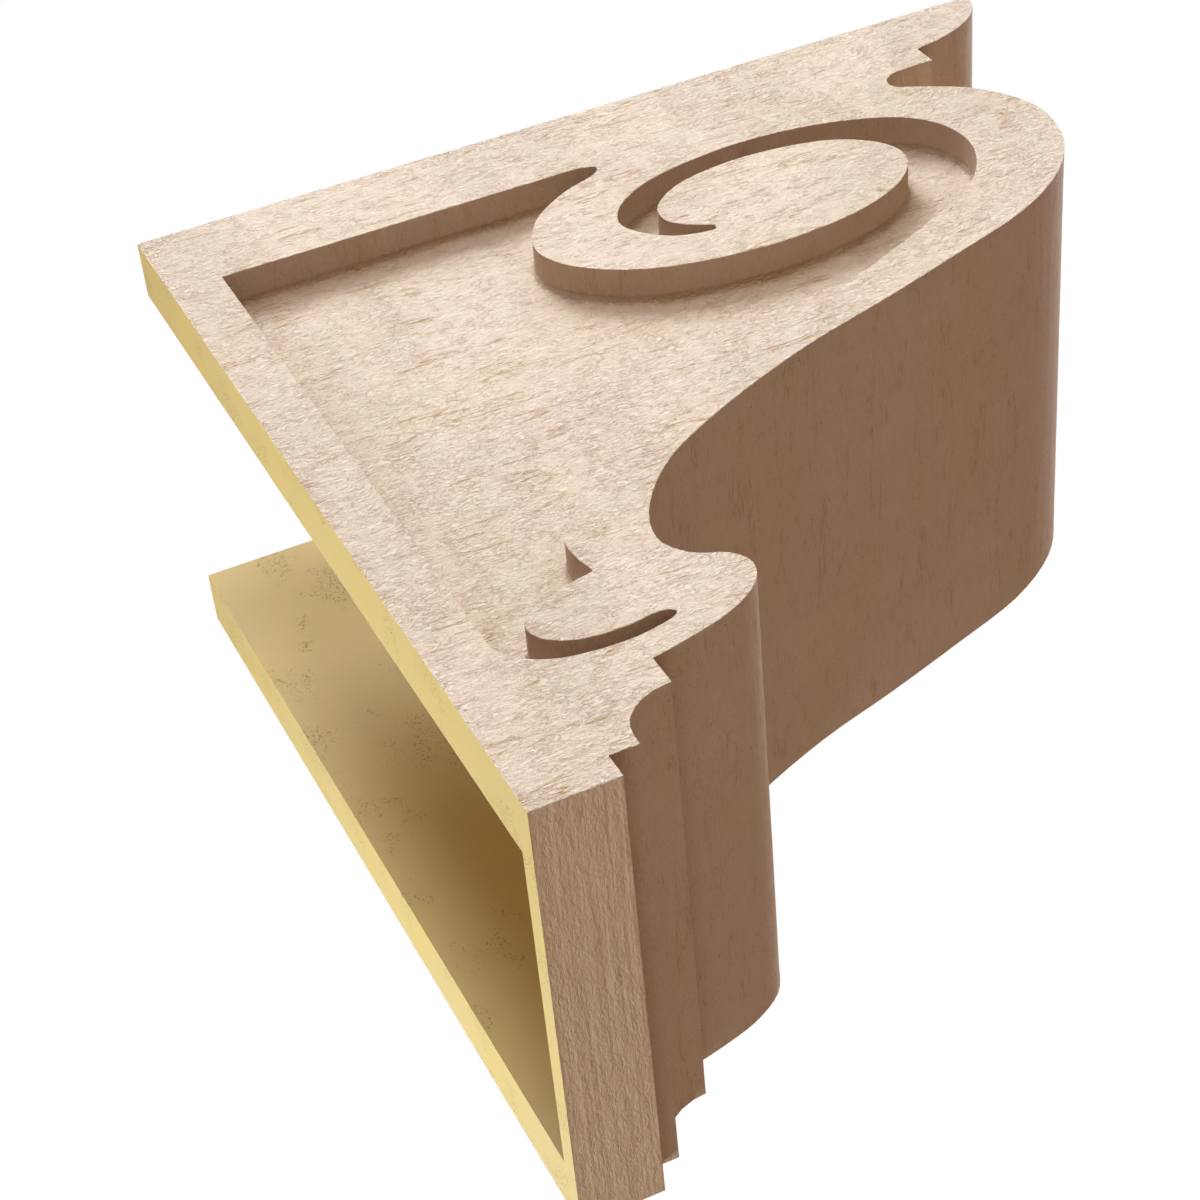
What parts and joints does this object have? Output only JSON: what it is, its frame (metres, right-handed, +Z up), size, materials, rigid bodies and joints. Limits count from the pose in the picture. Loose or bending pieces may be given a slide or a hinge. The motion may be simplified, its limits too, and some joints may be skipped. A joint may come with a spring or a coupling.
{
  "type": "urethane corbel",
  "caption": "Hollow corbel bracket cast to look like rough-sawn timber, with S-scroll front, sunk scroll carving on its sides, and a flat rim that fixes to a wall.",
  "frame": {"origin": "middle of the bottom end's back rim, on the wall plane", "axes": "+Y out of the back rim into the wall, +Z up, +X across the width"},
  "size_m": [0.2032, 0.4064, 0.4064],
  "materials": {
    "primed_faux_wood": "tan primer over a cast rough-sawn texture, matt; the rims and the hollow are bare yellow urethane"
  },
  "bodies": {
    "root": {"corbel": "primed_faux_wood"}
  },
  "joints": []
}
